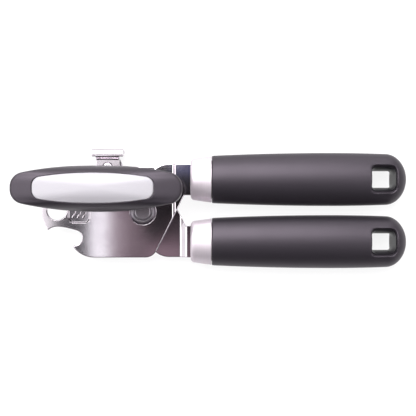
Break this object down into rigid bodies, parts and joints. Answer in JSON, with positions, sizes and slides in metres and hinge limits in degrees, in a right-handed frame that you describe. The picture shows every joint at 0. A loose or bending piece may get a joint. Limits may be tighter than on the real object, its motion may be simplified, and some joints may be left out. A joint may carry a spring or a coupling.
{
  "type": "manual can opener",
  "caption": "Crank can opener: crossed steel plates on a rivet, toothed feed wheel, free cutter wheel, bottle-opener hook, long knob and two soft grips with hang holes.",
  "frame": {"origin": "middle of the resting footprint, on the table that the opener lies on", "axes": "+X along the handles towards the hang holes, +Y from the lower handle towards the upper handle and guard, +Z along the crank axis towards the knob"},
  "size_m": [0.2108, 0.0662, 0.047],
  "materials": {
    "stainless": "polished stamped stainless",
    "hardened_steel": "ground",
    "rivet_steel": "tumbled",
    "satin_collar": "satin",
    "bearing_bronze": "sintered",
    "soft_touch": "soft touch, satin",
    "hard_nylon": "moulded",
    "badge_silver": "satin",
    "washer_nylon": "natural"
  },
  "bodies": {
    "lower_arm": {"rear_plate": "stainless", "pivot_rivet": "rivet_steel", "pivot_washer": "washer_nylon", "cutter_stud": "hardened_steel", "cutter_spacer": "hardened_steel", "cutter_washer": "hardened_steel", "lower_core": "hard_nylon", "lower_grip": "soft_touch", "lower_ferrule": "satin_collar"},
    "upper_arm": {"front_plate": "stainless", "shaft_bushing": "bearing_bronze", "upper_core": "hard_nylon", "upper_grip": "soft_touch", "upper_ferrule": "satin_collar"},
    "crank": {"crank_shaft": "hardened_steel", "feed_wheel": "hardened_steel", "spring_washer": "hardened_steel", "thrust_washer": "washer_nylon", "knob_core": "hard_nylon", "knob_grip": "soft_touch", "knob_badge": "badge_silver", "knob_screw": "hardened_steel"},
    "cutter": {"cutter_wheel": "hardened_steel"}
  },
  "joints": [
    {"name": "handle_hinge", "type": "hinge", "parent": "lower_arm", "child": "upper_arm", "pos_m": [-0.0399, -0.0018, 0.011], "axis": [0, 0, 1], "range_deg": [0, 35]},
    {"name": "crank_spin", "type": "hinge", "parent": "upper_arm", "child": "crank", "pos_m": [-0.0614, 0.0104, 0.0132], "axis": [0, 0, 1], "continuous": true},
    {"name": "cutter_spin", "type": "hinge", "parent": "lower_arm", "child": "cutter", "pos_m": [-0.0598, 0.0228, 0.0078], "axis": [0, 0, 1], "continuous": true}
  ]
}
